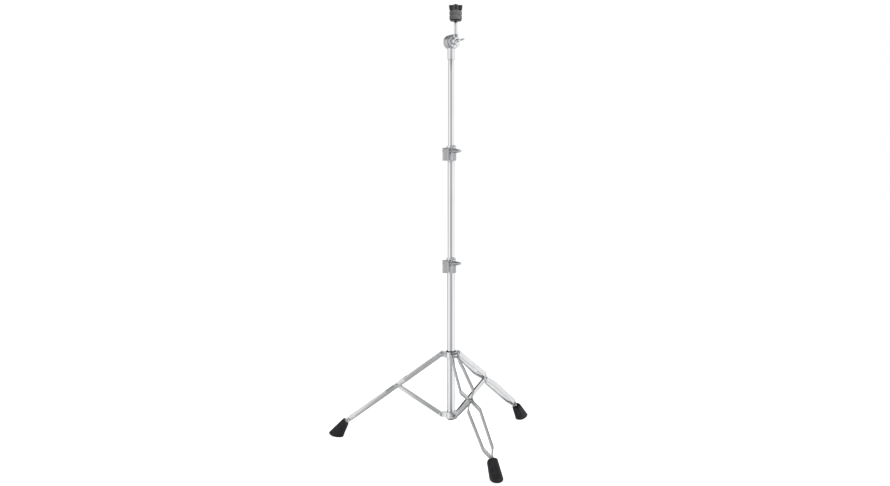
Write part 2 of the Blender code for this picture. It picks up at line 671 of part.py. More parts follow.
def build_legs(hub_space, brace_space):
    """Three legs of two strips with their feet and rivets, and the braces that hold them."""
    to_leg = (shift(LEG_PIVOT_RADIUS, 0, LEG_PIVOT_HEIGHT) @ turn(SLOPE, "Y")).inverted()
    foot_mesh = None
    strip_mesh = {}
    brace_angle = BRACE_RUN.angle(Vector((1, 0, 0)))
    feet = []
    for index, leg in enumerate(LEG_NAMES):
        azimuth = leg_azimuth(index)
        pivot_place = (LEG_PIVOT_RADIUS * cos(azimuth), LEG_PIVOT_RADIUS * sin(azimuth),
                       LEG_PIVOT_ABOVE_HUB_MIDDLE)
        rivet(f"{leg}_leg_hinge_pin", HINGE_PIN_RADIUS, HINGE_HEAD_RADIUS,
              HUB_HALF + STRIP_THICKNESS / 2 + GAP, "plated_steel",
              empty(f"{leg}_leg_hinge", hub_space, pivot_place, (0, 0, azimuth)))
        pivot = empty(f"{leg}_leg_pivot", hub_space, pivot_place, (0, SLOPE, azimuth))
        for letter, side in (("a", 1), ("b", -1)):
            name = f"{leg}_leg_strip_{letter}"
            if side in strip_mesh:
                strip = place(name, strip_mesh[side], pivot)
            else:
                strip = piece(name, strip_shape(side), "plated_steel", pivot)
                strip_mesh[side] = strip.data
            reach = 2 * UPPER_BOW_HALF
            cut(strip, hole_along_y(HINGE_PIN_RADIUS + GAP, 0, 0, reach))
            cut(strip, hole_along_y(BRACE_PIN_RADIUS + GAP, LEG_TO_BRACE, 0, reach))
            cut(strip, hole_along_y(BRACE_PIN_RADIUS + GAP, LEG_TO_FOOT - END_RIVET_BEFORE_FOOT, 0,
                                    reach))
            half_rivet(f"{leg}_leg_brace_rivet_{letter}", side, pivot)
        rivet(f"{leg}_leg_end_rivet", BRACE_PIN_RADIUS, BRACE_HEAD_RADIUS,
              TOE_HALF + STRIP_THICKNESS / 2 + GAP, "plated_steel", pivot,
              (LEG_TO_FOOT - END_RIVET_BEFORE_FOOT, 0, 0))
        if foot_mesh:
            foot = place(f"{leg}_foot", foot_mesh, pivot)
        else:
            shape = moved(foot_shape(), shift(FOOT_SPREAD, 0, 0), to_leg)
            foot = piece(f"{leg}_foot", shape, "rubber", pivot)
            foot_mesh = foot.data
        pocket_y = TOE_HALF + STRIP_THICKNESS / 2 + GAP
        pocket_z = STRIP_HEIGHT / 2 + GAP
        cut(foot, block((LEG_TO_FOOT - STRIP_END, -pocket_y, -pocket_z),
                        (LEG_TO_FOOT + STRIP_END + GAP, pocket_y, pocket_z)))
        feet.append(foot)
        build_brace(leg, azimuth, brace_angle, brace_space)
    return feet


def half_rivet(name, side, pivot):
    """One half of the rivet at the pinch: a head outside a strip and a shank inside its hole."""
    inner = PINCH_HALF - STRIP_THICKNESS / 2
    outer = PINCH_HALF + STRIP_THICKNESS / 2 + GAP
    top = outer + RIVET_HEAD_HEIGHT
    profile = [(0, inner), (BRACE_PIN_RADIUS, inner), (BRACE_PIN_RADIUS, outer),
               (BRACE_HEAD_RADIUS, outer), (BRACE_HEAD_RADIUS, outer + GAP),
               (BRACE_HEAD_RADIUS * 0.55, top), (0, top)]
    shape = moved(turned(profile, RIVET_SIDES), turn(radians(-90 * side), "X"))
    piece(name, shape, "plated_steel", pivot, (LEG_TO_BRACE, 0, 0))


def build_brace(leg, azimuth, brace_angle, brace_space):
    """A channel from the brace hub up to the pinch of its leg, with a bush at the upper end."""
    place_of_pivot = (BRACE_PIVOT_RADIUS * cos(azimuth), BRACE_PIVOT_RADIUS * sin(azimuth), 0)
    pivot = empty(f"{leg}_brace_axis", brace_space, place_of_pivot, (0, -brace_angle, azimuth))
    brace = piece(f"{leg}_brace", brace_shape(), "plated_steel", pivot)
    half = BRACE_WIDTH / 2 - BRACE_WALL
    roof = BRACE_HEIGHT / 2 - BRACE_WALL
    far = BRACE_RUN.length + BRACE_HEIGHT
    cut(brace, block((-BRACE_HEIGHT, -half, -BRACE_HEIGHT), (far, half, roof)))
    join(brace, hole_along_y(BRACE_BUSH_RADIUS, BRACE_RUN.length, 0, half + BRACE_WALL / 2))
    cut(brace, hole_along_y(BRACE_PIN_RADIUS + GAP, 0, 0, BRACE_WIDTH))
    return brace


def build_clamp(name, outer_tube, inner_tube, parent):
    """A cast tube clamp with its bushing, bolt and wing nut.

    Its space has z = 0 at the clamp's foot, the block to -X, the bolt along X and the slot to -Y.
    """
    bore = outer_tube / 2 + GAP
    top = CLAMP_HEIGHT
    clamp = piece(f"{name}_clamp", cylinder(CLAMP_RADIUS, 0, top), "cast_chrome", parent)
    join(clamp, block((-CLAMP_BLOCK_REACH, -CLAMP_FRONT, 0),
                      (-CLAMP_BLOCK_INNER, CLAMP_BLOCK_BACK, top), CLAMP_ROUNDING))
    join(clamp, block((CLAMP_LUG_INNER, -CLAMP_FRONT + 2 * MM, 0),
                      (CLAMP_LUG_REACH - 1.5 * MM, -CLAMP_ROUNDING, top - 2 * MM), CLAMP_ROUNDING))
    sideways = turn(radians(90), "Y")
    at_bolt = shift(0, -CLAMP_BOLT_FORWARD, CLAMP_BOLT_HEIGHT)
    boss_radius = CLAMP_FRONT - CLAMP_BOLT_FORWARD + 2.5 * MM
    join(clamp, moved(cylinder(boss_radius, CLAMP_LUG_INNER + SINK, CLAMP_LUG_REACH), sideways,
                      at_bolt))
    cut(clamp, block((CLAMP_POCKET_WALL - CLAMP_BLOCK_REACH,
                      -CLAMP_BOLT_FORWARD + 2 * CLAMP_BOLT_RADIUS, CLAMP_POCKET_WALL),
                     (-CLAMP_RADIUS - CLAMP_POCKET_WALL / 2, 2 * CLAMP_BLOCK_BACK,
                      top - CLAMP_POCKET_WALL)))
    cut(clamp, cylinder(bore, -top, 2 * top, TUBE_SIDES))
    slot = -CLAMP_SLOT_OFFSET
    cut(clamp, block((slot - CLAMP_SLOT_WIDTH / 2, -2 * CLAMP_FRONT, -top),
                     (slot + CLAMP_SLOT_WIDTH / 2, -bore / 2, 2 * top)))
    cut(clamp, moved(cylinder(CLAMP_BOLT_RADIUS + GAP, -2 * CLAMP_BLOCK_REACH,
                              2 * CLAMP_BLOCK_REACH, 12), sideways, at_bolt))
    pocket_end = -CLAMP_BLOCK_REACH + CLAMP_HEAD_POCKET
    cut(clamp, moved(cylinder(CLAMP_BOLT_HEAD_RADIUS + GAP, -2 * CLAMP_BLOCK_REACH, pocket_end, 16),
                     sideways, at_bolt))

    inner = inner_tube / 2 + GAP
    piece(f"{name}_clamp_bushing", ring(inner, outer_tube / 2, CLAMP_GRIP + GAP, top - GAP,
                                        TUBE_SIDES), "nylon", parent)

    nut_seat = CLAMP_LUG_REACH + GAP
    bolt_end = nut_seat + WING_BOSS_LENGTH + CLAMP_BOLT_PAST_NUT
    head = pocket_end - GAP
    profile = [(0, head - CLAMP_BOLT_HEAD), (CLAMP_BOLT_HEAD_RADIUS, head - CLAMP_BOLT_HEAD),
               (CLAMP_BOLT_HEAD_RADIUS, head), (CLAMP_BOLT_RADIUS, head),
               (CLAMP_BOLT_RADIUS, bolt_end), (0, bolt_end)]
    piece(f"{name}_clamp_bolt", moved(turned(profile, 16), sideways), "plated_steel", parent,
          (0, -CLAMP_BOLT_FORWARD, CLAMP_BOLT_HEIGHT))
    axis = empty(f"{name}_clamp_wing_axis", parent,
                 (nut_seat, -CLAMP_BOLT_FORWARD, CLAMP_BOLT_HEIGHT), (0, radians(90), 0))
    wing_nut(f"{name}_clamp_wing_nut", WING_SPAN, CLAMP_BOLT_RADIUS, axis,
             (0, 0, 0), (0, 0, radians(90)))


def build_memory_ring(name, inner_tube, parent):
    """The ring that rides on a clamp, with its key screw. z = 0 is the ring's lower face."""
    bore = inner_tube / 2 + GAP
    memory = piece(f"{name}_memory_ring", cylinder(RING_RADIUS, 0, RING_HEIGHT), "cast_chrome",
                   parent)
    outward = turn(radians(90), "Y")
    aim = turn(radians(RING_SCREW_AZIMUTH), "Z")
    screw_height = RING_BOSS_RADIUS + GAP
    middle = shift(0, 0, screw_height)
    join(memory, moved(cylinder(RING_BOSS_RADIUS, bore + SINK, RING_BOSS_REACH, 14), outward, middle,
                       aim))
    cut(memory, cylinder(bore, -RING_HEIGHT, 2 * RING_HEIGHT, TUBE_SIDES))
    cut(memory, moved(cylinder(KEY_SCREW_RADIUS + GAP, 0, 2 * RING_BOSS_REACH, 10), outward, middle,
                      aim))
    half = KEY_HEAD_WIDTH / 2
    head_low = RING_BOSS_REACH + GAP
    screw = piece(f"{name}_ring_key_screw",
                  cylinder(KEY_SCREW_RADIUS, bore, head_low + KEY_HEAD_LENGTH / 2, 10),
                  "plated_steel",
                  empty(f"{name}_key_axis", parent, (0, 0, screw_height),
                        (0, radians(90), radians(RING_SCREW_AZIMUTH))))
    join(screw, block((-half, -half, head_low), (half, half, head_low + KEY_HEAD_LENGTH), 0.5 * MM))


def toothed_rings(shape, face, valley, turn_way, outer, inner, centre_radius):
    """Return rows of points for a face of radial teeth, from its rim in to its middle."""
    rows = []
    count = 2 * TILTER_TEETH
    for radius, toothed in ((outer, False), (outer - TOOTH_RIM, True), (inner, True),
                            (inner, False), (centre_radius, False)):
        row = []
        for index in range(count):
            angle = 2 * pi * index / count
            height = face if toothed and index % 2 == 0 else valley
            row.append(shape.verts.new((radius * cos(angle), turn_way * height,
                                        radius * sin(angle))))
        rows.append(row)
    return rows


def plain_ring(shape, radius, y):
    count = 2 * TILTER_TEETH
    angles = [2 * pi * index / count for index in range(count)]
    return [shape.verts.new((radius * cos(angle), y, radius * sin(angle))) for angle in angles]


def skin(shape, rows):
    """Close rows of equal length into a body with a flat cap at each end."""
    count = len(rows[0])
    for row, after in zip(rows, rows[1:]):
        for index in range(count):
            following = (index + 1) % count
            corners = []
            for vert in (row[index], row[following], after[following], after[index]):
                if all((vert.co - other.co).length > 1e-7 for other in corners):
                    corners.append(vert)
            if len(corners) > 2:
                shape.faces.new(corners)
    shape.faces.new(rows[0])
    shape.faces.new(rows[-1])
    return shape


def housing_drum():
    """The drum of the tilter housing with teeth on its front face, towards -Y."""
    shape = bmesh.new()
    back = TILTER_HALF_DEPTH
    valley = -(TILTER_HALF_DEPTH - TOOTH_DEPTH)
    rows = [plain_ring(shape, TILTER_RADIUS - TILTER_EDGE, back),
            plain_ring(shape, TILTER_RADIUS, back - TILTER_EDGE)]
    rows += toothed_rings(shape, -TILTER_HALF_DEPTH, valley, 1, TILTER_RADIUS,
                          TOOTH_INNER_RADIUS, TOOTH_INNER_RADIUS - 2 * MM)
    return skin(shape, rows)


def tilter_disc():
    """The disc with teeth on its back face and a raised rim round pockets on its front face."""
    shape = bmesh.new()
    valley = -(DISC_BACK + TOOTH_DEPTH)
    rows = [plain_ring(shape, DISC_RADIUS - TILTER_EDGE, -DISC_FRONT),
            plain_ring(shape, DISC_RADIUS, -(DISC_FRONT - TILTER_EDGE))]
    rows += toothed_rings(shape, -DISC_BACK, valley, 1, DISC_RADIUS, TOOTH_INNER_RADIUS,
                          TOOTH_INNER_RADIUS - 2 * MM)
    return skin(shape, rows)


def pocket_sector(start, end, depth_from, depth_to):
    """A sector between two radii, cut into the disc's front face between two depths along -Y."""
    outer = arc(0, 0, DISC_POCKET_OUTER, start, end, 4)
    inner = arc(0, 0, DISC_POCKET_INNER, end, start, 3)
    return moved(prism(outer + inner, depth_from, depth_to), turn(radians(90), "X"))


def build_tilter(carrier, stem_space):
    """The housing on the top tube, the disc that tilts on it and the bolt through both."""
    away = turn(radians(90), "X")
    housing = piece("tilter_housing", housing_drum(), "cast_chrome", carrier)
    join(housing, cylinder(FERRULE_RADIUS, -FERRULE_BELOW_AXIS, 0))
    cut(housing, cylinder(TOP_TUBE_OD / 2 + GAP, -2 * FERRULE_BELOW_AXIS,
                          GAP - TILTER_ABOVE_TUBE, TUBE_SIDES))
    hole = TILTER_BOLT_RADIUS + GAP
    cut(housing, moved(cylinder(hole, -TILTER_RADIUS, TILTER_RADIUS, 16), away))
    head_seat = TILTER_HALF_DEPTH - TILTER_BOLT_HEAD - GAP
    cut(housing, moved(cylinder(TILTER_BOLT_HEAD_RADIUS + GAP, -TILTER_RADIUS, -head_seat, 16), away))

    disc = piece("tilter_disc", tilter_disc(), "cast_chrome", stem_space)
    spoke = DISC_SPOKE_WIDTH / 2
    share = 360 / DISC_POCKETS
    for index in range(DISC_POCKETS):
        edge = spoke / DISC_POCKET_INNER * 180 / pi
        cut(disc, pocket_sector(share * index + edge, share * (index + 1) - edge,
                                DISC_FRONT - DISC_POCKET_DEPTH, 2 * DISC_FRONT))
    boss_end = DISC_FRONT + DISC_BOSS_LENGTH
    join(disc, moved(cylinder(DISC_BOSS_RADIUS, DISC_FRONT - SINK, boss_end), away))
    join(disc, moved(cylinder(STEM_SOCKET_RADIUS, 0, STEM_SOCKET_TOP, 20),
                     shift(y=-STEM_FORWARD)))
    cut(disc, moved(cylinder(hole, 0, 2 * boss_end, 16), away))
    cut(disc, moved(cylinder(STEM_RADIUS + GAP, STEM_BOTTOM - GAP, 2 * STEM_SOCKET_TOP, 20),
                    shift(y=-STEM_FORWARD)))

    nut_seat = boss_end + GAP
    bolt_end = nut_seat + WING_BOSS_LENGTH + CLAMP_BOLT_PAST_NUT
    head_top = -(TILTER_HALF_DEPTH - GAP)
    profile = [(0, head_top), (TILTER_BOLT_HEAD_RADIUS, head_top),
               (TILTER_BOLT_HEAD_RADIUS, head_top + TILTER_BOLT_HEAD - GAP),
               (TILTER_BOLT_RADIUS, head_top + TILTER_BOLT_HEAD - GAP),
               (TILTER_BOLT_RADIUS, bolt_end), (0, bolt_end)]
    piece("tilter_bolt", moved(turned(profile, 16), away), "plated_steel", carrier)
    axis = empty("tilter_wing_axis", carrier, (0, -nut_seat, 0), (radians(90), 0, 0))
    wing_nut("tilter_wing_nut", TILTER_WING_SPAN, TILTER_BOLT_RADIUS, axis, (0, 0, 0),
             (0, 0, radians(16)))


def felt_shape():
    """A felt washer with rounded rims."""
    inner = SLEEVE_RADIUS + GAP
    edge = FELT_ROUNDING
    profile = [(inner, 0)]
    profile += arc(FELT_RADIUS - edge, edge, edge, -90, 0, 2)
    profile += arc(FELT_RADIUS - edge, FELT_HEIGHT - edge, edge, 0, 90, 2)
    profile.append((inner, FELT_HEIGHT))
    return turned(profile)


def build_seat(stem_space):
    """The stem with its stud, the nylon sleeve, two felts and the black wing nut on top."""
    forward = (0, -STEM_FORWARD, 0)
    profile = [(0, STEM_BOTTOM), (STEM_RADIUS, STEM_BOTTOM), (STEM_RADIUS, SEAT_HEIGHT),
               (STUD_RADIUS, SEAT_HEIGHT), (STUD_RADIUS, STUD_TOP - 1 * MM),
               (STUD_RADIUS - 1 * MM, STUD_TOP), (0, STUD_TOP)]
    piece("stem", turned(profile, 20), "chrome", stem_space, forward)

    flange_low = SEAT_HEIGHT + GAP
    felt_low = flange_low + SLEEVE_FLANGE + GAP
    upper_low = felt_low + FELT_HEIGHT + GAP
    nut_low = upper_low + FELT_HEIGHT + GAP
    inner = STUD_RADIUS + GAP
    profile = [(inner, flange_low), (SLEEVE_FLANGE_RADIUS - 1 * MM, flange_low),
               (SLEEVE_FLANGE_RADIUS, flange_low + 1 * MM),
               (SLEEVE_FLANGE_RADIUS, flange_low + SLEEVE_FLANGE),
               (SLEEVE_RADIUS, flange_low + SLEEVE_FLANGE), (SLEEVE_RADIUS, nut_low - GAP),
               (inner, nut_low - GAP)]
    piece("cymbal_sleeve", turned(profile), "nylon", stem_space, forward)
    felt = piece("lower_felt", felt_shape(), "felt", stem_space, (0, -STEM_FORWARD, felt_low))
    place("upper_felt", felt.data, stem_space, (0, -STEM_FORWARD, upper_low))

    axis = empty("top_nut_axis", stem_space, (0, -STEM_FORWARD, nut_low), (0, 0, radians(-34)))
    nut = piece("top_wing_nut",
                turned([(0, 0), (TOP_NUT_BOSS_RADIUS, 0), (TOP_NUT_BOSS_RADIUS, TOP_NUT_HEIGHT - 1 * MM),
                        (TOP_NUT_BOSS_RADIUS - 1 * MM, TOP_NUT_HEIGHT), (0, TOP_NUT_HEIGHT)]),
                "black_plastic", axis)
    foot, crown = TOP_NUT_FOOT_SPAN / 2, TOP_NUT_SPAN / 2
    low, high = 0.8 * MM, TOP_NUT_HEIGHT - 0.6 * MM
    plate = moved(prism([(-foot, low), (foot, low), (crown, high), (-crown, high)],
                        -TOP_NUT_THICKNESS / 2, TOP_NUT_THICKNESS / 2), turn(radians(90), "X"))
    round_edges(plate, 2.5 * MM)
    join(nut, plate)
    cut(nut, cylinder(STUD_RADIUS + GAP, -TOP_NUT_HEIGHT, 2 * TOP_NUT_HEIGHT, 16))


def centre_on_footprint(stand, feet):
    """Move the whole stand so that the middle of its feet is at the origin."""
    bpy.context.view_layer.update()
    corners = [foot.matrix_world @ vert.co for foot in feet for vert in foot.data.vertices]
    xs = [corner.x for corner in corners]
    ys = [corner.y for corner in corners]
    stand.location.x -= (min(xs) + max(xs)) / 2
    stand.location.y -= (min(ys) + max(ys)) / 2
    bpy.context.view_layer.update()


def build_stand():
    clear_scene()
    stand = empty("stand")
    build_base_tube(stand)
    brace_space = build_brace_hub(stand)
    hub_space = build_leg_hub(stand)
    feet = build_legs(hub_space, brace_space)

    lower = empty("lower_clamp_foot", stand, (0, 0, BASE_TUBE_TOP - CLAMP_GRIP),
                  (0, 0, radians(CLAMP_AZIMUTH)))
    build_clamp("lower", BASE_TUBE_OD, MIDDLE_TUBE_OD, lower)
    build_memory_ring("lower", MIDDLE_TUBE_OD,
                      empty("lower_ring_foot", lower, (0, 0, CLAMP_HEIGHT + GAP)))
    middle = empty("middle_tube_top", stand, (0, 0, MIDDLE_TUBE_TOP))
    tube("middle_tube", MIDDLE_TUBE_OD, -MIDDLE_TUBE_LENGTH, MIDDLE_TUBE_LENGTH, middle)
    upper = empty("upper_clamp_foot", middle, (0, 0, -CLAMP_GRIP), (0, 0, radians(CLAMP_AZIMUTH)))
    build_clamp("upper", MIDDLE_TUBE_OD, TOP_TUBE_OD, upper)
    build_memory_ring("upper", TOP_TUBE_OD,
                      empty("upper_ring_foot", upper, (0, 0, CLAMP_HEIGHT + GAP)))
    top = empty("top_tube_top", stand, (0, 0, TOP_TUBE_TOP))
    tube("top_tube", TOP_TUBE_OD, -TOP_TUBE_LENGTH, TOP_TUBE_LENGTH, top)
    carrier = empty("tilter_carrier", top, (0, 0, TILTER_ABOVE_TUBE),
                    (0, 0, radians(TILTER_AZIMUTH)))
    stem_space = empty("tilt_axis", carrier)
    build_tilter(carrier, stem_space)
    build_seat(stem_space)
    centre_on_footprint(stand, feet)


build_stand()
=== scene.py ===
"""Looks of a folding cymbal stand: chrome tubes and castings, plated strips, rubber feet, felts."""

import json
from math import pi, radians, sin

import bmesh
import bpy
from bpy.props import FloatProperty, FloatVectorProperty, PointerProperty
from mathutils import Matrix, Vector


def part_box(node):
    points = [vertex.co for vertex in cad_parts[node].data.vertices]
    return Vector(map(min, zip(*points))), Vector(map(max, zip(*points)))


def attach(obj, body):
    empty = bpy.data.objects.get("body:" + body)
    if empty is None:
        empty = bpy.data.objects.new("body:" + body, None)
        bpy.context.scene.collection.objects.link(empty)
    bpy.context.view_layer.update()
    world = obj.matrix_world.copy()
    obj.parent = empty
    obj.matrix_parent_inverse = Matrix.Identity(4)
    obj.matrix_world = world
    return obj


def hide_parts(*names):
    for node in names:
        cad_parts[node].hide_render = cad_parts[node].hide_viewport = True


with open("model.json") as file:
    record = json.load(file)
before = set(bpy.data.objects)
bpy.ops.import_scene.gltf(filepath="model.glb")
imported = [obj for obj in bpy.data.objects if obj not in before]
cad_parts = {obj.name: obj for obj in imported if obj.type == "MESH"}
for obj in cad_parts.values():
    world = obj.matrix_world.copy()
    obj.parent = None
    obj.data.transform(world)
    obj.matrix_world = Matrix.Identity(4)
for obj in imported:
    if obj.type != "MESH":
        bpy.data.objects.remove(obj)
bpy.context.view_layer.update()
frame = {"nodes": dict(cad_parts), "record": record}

bl_info = {
    "name": "Cymbal stand",
    "version": (1, 0, 0),
    "blender": (4, 5, 0),
    "location": "View3D > Sidebar > Stand",
    "description": "Builds the look of a folding cymbal stand around its solids",
    "category": "Add Mesh",
}

MM = 0.001
LEGS = ("front", "right", "left")

MERGE = 0.001 * MM
FLAT_ANGLE = radians(0.6)
SPIRAL_STEPS = 24
FLOOR_SIZE = 40
FLOOR_DROP = 0.2 * MM
LIGHT_DISTANCE = 3.0
LIGHT_AIM_HEIGHT = 0.6

# Each light's name, angle to the camera's right, height, width and share of the key's power
LIGHTS = (("key", 55, 2.6, 2.4, 1.0), ("fill", -40, 2.0, 2.2, 0.3), ("back", 180, 3.0, 2.4, 0.3))

# Grey of the studio's walls by the angle from the camera's side, positive to its right
WALL_GREYS = ((-180, 0.9), (-150, 0.55), (-105, 0.45), (-92, 0.95), (-40, 1.0), (-30, 0.49),
              (36, 0.44), (46, 1.0), (112, 1.0), (124, 0.5), (145, 0.8), (180, 0.9))
# Grey of the studio by the angle above the horizon
HEIGHT_GREYS = ((-90, 0.3), (-50, 0.5), (-30, 1.0), (22, 1.0), (32, 0.25), (60, 0.12), (90, 0.5))

BODY_OF = {node: body for body, nodes in frame["record"]["behaviour"]["bodies"].items()
           for node in nodes}
SLOT_OF = {row["node"]: row["material_slot"] for row in frame["record"]["subparts"]}
JOINT_OF = {joint["name"]: joint for joint in frame["record"]["behaviour"]["joints"]}

# Rods whose threaded ends stand out of their nuts
THREADED = (("lower_clamp_bolt", "lower_clamp_wing_nut"),
            ("upper_clamp_bolt", "upper_clamp_wing_nut"),
            ("tilter_bolt", "tilter_wing_nut"), ("stem", "top_wing_nut"))


class StandSizes(bpy.types.PropertyGroup):
    """Sizes of the fine detail that a user may change."""

    edge_break: FloatProperty(
        name="Edge break", description="Width of the soft edge on castings and pressed parts",
        default=0.35 * MM, min=0.05 * MM, max=1.0 * MM, unit="LENGTH")
    foot_edge: FloatProperty(
        name="Foot edge", description="Width of the soft edge on the rubber feet",
        default=1.2 * MM, min=0.1 * MM, max=3.0 * MM, unit="LENGTH")
    sole_width: FloatProperty(
        name="Sole width", description="Width of a foot's sole as a share of its solid's",
        default=0.86, min=0.7, max=1.0, subtype="FACTOR")
    neck_width: FloatProperty(
        name="Neck width", description="Width of a foot's neck as a share of its solid's",
        default=1.18, min=1.0, max=1.3, subtype="FACTOR")
    smooth_angle: FloatProperty(
        name="Smooth angle", description="Edges flatter than this are shaded smooth",
        default=radians(35), min=radians(10), max=radians(60), subtype="ANGLE")
    thread_pitch: FloatProperty(
        name="Thread pitch", description="Distance between the ridges of a thread",
        default=1.0 * MM, min=0.5 * MM, max=2.0 * MM, unit="LENGTH")
    thread_depth: FloatProperty(
        name="Thread depth", description="How far a thread's ridges stand out",
        default=0.22 * MM, min=0.05 * MM, max=0.5 * MM, unit="LENGTH")


class StandColours(bpy.types.PropertyGroup):
    """Colours of the finishes."""

    chrome: FloatVectorProperty(
        name="Chrome", description="Colour of the chrome plate", default=(0.92, 0.93, 0.95),
        size=3, min=0, max=1, subtype="COLOR")
    plated_steel: FloatVectorProperty(
        name="Plated steel", description="Colour of the strips, braces and rivets",
        default=(0.84, 0.85, 0.86), size=3, min=0, max=1, subtype="COLOR")
    rubber: FloatVectorProperty(
        name="Rubber", description="Colour of the feet", default=(0.018, 0.018, 0.021),
        size=3, min=0, max=1, subtype="COLOR")
    nylon: FloatVectorProperty(
        name="Nylon", description="Colour of the bushings and the sleeve",
        default=(0.010, 0.010, 0.011), size=3, min=0, max=1, subtype="COLOR")
    felt: FloatVectorProperty(
        name="Felt", description="Colour of the felts", default=(0.120, 0.120, 0.126),
        size=3, min=0, max=1, subtype="COLOR")
    black_plastic: FloatVectorProperty(
        name="Black moulding", description="Colour of the top wing nut",
        default=(0.004, 0.004, 0.005), size=3, min=0, max=1, subtype="COLOR")


class StandStage(bpy.types.PropertyGroup):
    """The camera and the light of the studio."""

    camera_azimuth: FloatProperty(
        name="Camera azimuth", description="Turn of the camera about the tubes",
        default=radians(-18.9), subtype="ANGLE")
    camera_pitch: FloatProperty(
        name="Camera pitch", description="How far the camera looks down",
        default=radians(3.952), subtype="ANGLE")
    camera_distance: FloatProperty(
        name="Camera distance", description="Distance of the camera in front of the tubes",
        default=2.8, min=0.5, max=20, unit="LENGTH")
    camera_side: FloatProperty(
        name="Camera offset", description="Offset of the camera to the right of the tubes",
        default=-0.01964, unit="LENGTH")
    camera_height: FloatProperty(
        name="Camera height", description="Height of the camera above the floor",
        default=0.8597, min=0, max=5, unit="LENGTH")
    lens: FloatProperty(
        name="Lens", description="Focal length on a 36 mm sensor", default=34.71, min=10,
        max=200, unit="CAMERA")
    key_power: FloatProperty(
        name="Key light", description="Power of the large light on the right", default=120,
        min=0, max=1000, unit="POWER")
    world_light: FloatProperty(
        name="Ambient light", description="Strength of the light from all sides", default=0.3,
        min=0, max=5)


def sizes():
    """Return the sizes that the user may change."""
    return bpy.context.scene.stand_sizes


def colours():
    """Return the colours that the user may change."""
    return bpy.context.scene.stand_colours


def new_material(name):
    """Return a fresh node material, its tree and its Principled shader."""
    material = bpy.data.materials.new(name)
    material.use_nodes = True
    tree = material.node_tree
    return material, tree, tree.nodes["Principled BSDF"]


def node(tree, kind, **inputs):
    """Add a node and set its inputs by name."""
    item = tree.nodes.new(kind)
    for label, value in inputs.items():
        item.inputs[label.replace("_", " ")].default_value = value
    return item


def ramp(tree, value, stops):
    """Return the grey that a ramp of (position, grey) stops gives for a value from 0 to 1."""
    band = tree.nodes.new("ShaderNodeValToRGB")
    elements = band.color_ramp.elements
    while len(elements) < len(stops):
        elements.new(1.0)
    for element, (place, grey) in zip(elements, stops):
        element.position = place
        element.color = (grey, grey, grey, 1)
    tree.links.new(value, band.inputs["Fac"])
    return band.outputs["Color"]


def maths(tree, operation, *values):
    """Return what a Math node makes of its values, each a socket or a number."""
    item = tree.nodes.new("ShaderNodeMath")
    item.operation = operation
    for socket, value in zip(item.inputs, values):
        if isinstance(value, bpy.types.NodeSocket):
            tree.links.new(value, socket)
        else:
            socket.default_value = value
    return item.outputs[0]


def noise_between(tree, scale, low, high, detail=3.0, stretch=(1, 1, 1)):
    """Return a socket that varies over the surface between two values."""
    coords = tree.nodes.new("ShaderNodeTexCoord")
    mapping = tree.nodes.new("ShaderNodeMapping")
    mapping.inputs["Scale"].default_value = stretch
    noise = node(tree, "ShaderNodeTexNoise", Scale=scale, Detail=detail)
    spread = tree.nodes.new("ShaderNodeMapRange")
    spread.inputs["From Min"].default_value = 0.3
    spread.inputs["From Max"].default_value = 0.7
    spread.inputs["To Min"].default_value = low
    spread.inputs["To Max"].default_value = high
    tree.links.new(coords.outputs["Object"], mapping.inputs["Vector"])
    tree.links.new(mapping.outputs["Vector"], noise.inputs["Vector"])
    tree.links.new(noise.outputs["Fac"], spread.inputs["Value"])
    return spread.outputs["Result"]


def tinted(tree, shader, colour, factor):
    """Drive the base colour by a colour times a varying factor."""
    mix = tree.nodes.new("ShaderNodeMix")
    mix.data_type = "RGBA"
    mix.blend_type = "MULTIPLY"
    mix.inputs["Factor"].default_value = 1.0
    mix.inputs["A"].default_value = (*colour, 1)
    tree.links.new(factor, mix.inputs["B"])
    tree.links.new(mix.outputs["Result"], shader.inputs["Base Color"])


def bumped(tree, shader, height, distance, strength):
    """Raise and lower the surface by a varying height."""
    bump = tree.nodes.new("ShaderNodeBump")
    bump.inputs["Distance"].default_value = distance
    bump.inputs["Strength"].default_value = strength
    tree.links.new(height, bump.inputs["Height"])
    tree.links.new(bump.outputs["Normal"], shader.inputs["Normal"])


def chrome_plate(name, colour, roughness, ripple):
    """Polished plate: faint ripple, uneven polish and slight colour drift."""
    material, tree, shader = new_material(name)
    shader.inputs["Metallic"].default_value = 1.0
    tinted(tree, shader, colour, noise_between(tree, 9, 0.94, 1.0))
    polish = noise_between(tree, 160, roughness * 0.7, roughness * 1.3, 5)
    tree.links.new(polish, shader.inputs["Roughness"])
    bumped(tree, shader, noise_between(tree, 220, 0, 1, 2), ripple, 0.5)
    return material


def pressed_plate(name, colour):
    """Bright plate on pressed steel, with rolling marks along the strips."""
    material, tree, shader = new_material(name)
    shader.inputs["Metallic"].default_value = 1.0
    tinted(tree, shader, colour, noise_between(tree, 30, 0.9, 1.0))
    polish = noise_between(tree, 300, 0.16, 0.30, 6)
    tree.links.new(polish, shader.inputs["Roughness"])
    bumped(tree, shader, noise_between(tree, 700, 0, 1, 4), 0.03 * MM, 0.5)
    return material


def moulded_rubber(name, colour):
    """Matt moulded rubber with a fine grain."""
    material, tree, shader = new_material(name)
    shader.inputs["Specular IOR Level"].default_value = 0.25
    tinted(tree, shader, colour, noise_between(tree, 60, 0.75, 1.25))
    tree.links.new(noise_between(tree, 220, 0.42, 0.60, 6), shader.inputs["Roughness"])
    bumped(tree, shader, noise_between(tree, 1400, 0, 1, 5), 0.08 * MM, 0.6)
    return material


